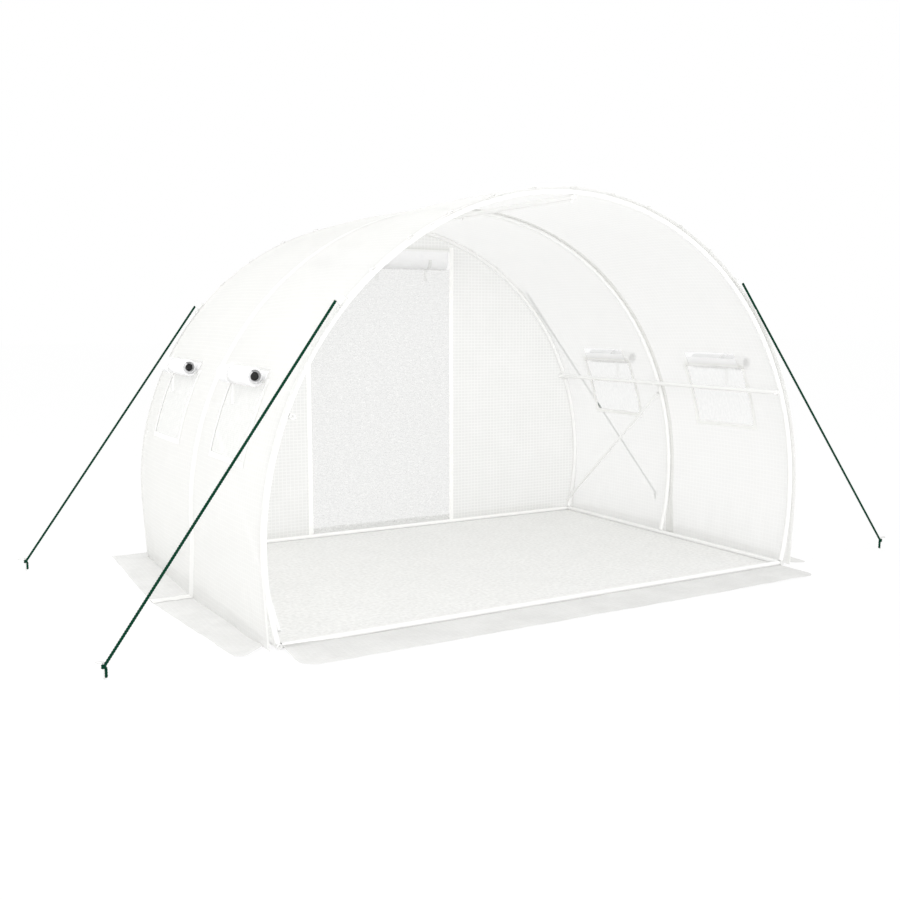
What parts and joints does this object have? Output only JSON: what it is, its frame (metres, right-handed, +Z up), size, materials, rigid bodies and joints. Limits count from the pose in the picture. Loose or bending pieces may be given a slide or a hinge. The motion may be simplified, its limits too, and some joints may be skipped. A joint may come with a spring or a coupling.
{
  "type": "polytunnel greenhouse",
  "caption": "Walk-in tunnel greenhouse on round hoops, with an open front, a sheeted rear wall with a zipped door, roll-up side windows, ground skirts and guy ropes.",
  "frame": {"origin": "on the ground under the middle of the base frame", "axes": "+X to the right seen from the open front, +Y from the open front to the rear wall, +Z up"},
  "size_m": [4.644, 2.55, 2.0078],
  "materials": {
    "frame_tube": "white powder coat on steel tube",
    "peg_steel": "galvanised steel wire",
    "rope": "dark green cord",
    "mesh": "fine white insect mesh",
    "ground_sheet": "thin woven sheet",
    "skirt": "woven translucent sheet",
    "binding": "sewn white webbing",
    "cover": "woven translucent sheet with a fine grid"
  },
  "bodies": {
    "root": {"cover_front_bay": "cover", "cover_rear_bay": "cover", "front_arch": "frame_tube", "front_base_rail": "frame_tube", "front_hem": "binding", "front_skirt": "skirt", "ground_sheet": "ground_sheet", "guy_rope_left_front": "rope", "guy_rope_left_rear": "rope", "guy_rope_right_front": "rope", "guy_rope_right_rear": "rope", "left_base_rail": "frame_tube", "left_brace": "frame_tube", "left_side_rail": "frame_tube", "left_skirt": "skirt", "middle_arch": "frame_tube", "middle_seam_band": "binding", "peg_left_front": "peg_steel", "peg_left_rear": "peg_steel", "peg_right_front": "peg_steel", "peg_right_rear": "peg_steel", "rear_arch": "frame_tube", "rear_base_rail": "frame_tube", "rear_door_binding": "binding", "rear_door_roll": "cover", "rear_door_screen": "mesh", "rear_hem": "binding", "rear_skirt": "skirt", "rear_wall": "cover", "ridge_rail": "frame_tube", "right_base_rail": "frame_tube", "right_brace": "frame_tube", "right_side_rail": "frame_tube", "right_skirt": "skirt", "window_left_front_binding": "binding", "window_left_front_roll": "cover", "window_left_front_screen": "mesh", "window_left_rear_binding": "binding", "window_left_rear_roll": "cover", "window_left_rear_screen": "mesh", "window_right_front_binding": "binding", "window_right_front_roll": "cover", "window_right_front_screen": "mesh", "window_right_rear_binding": "binding", "window_right_rear_roll": "cover", "window_right_rear_screen": "mesh"}
  },
  "joints": []
}
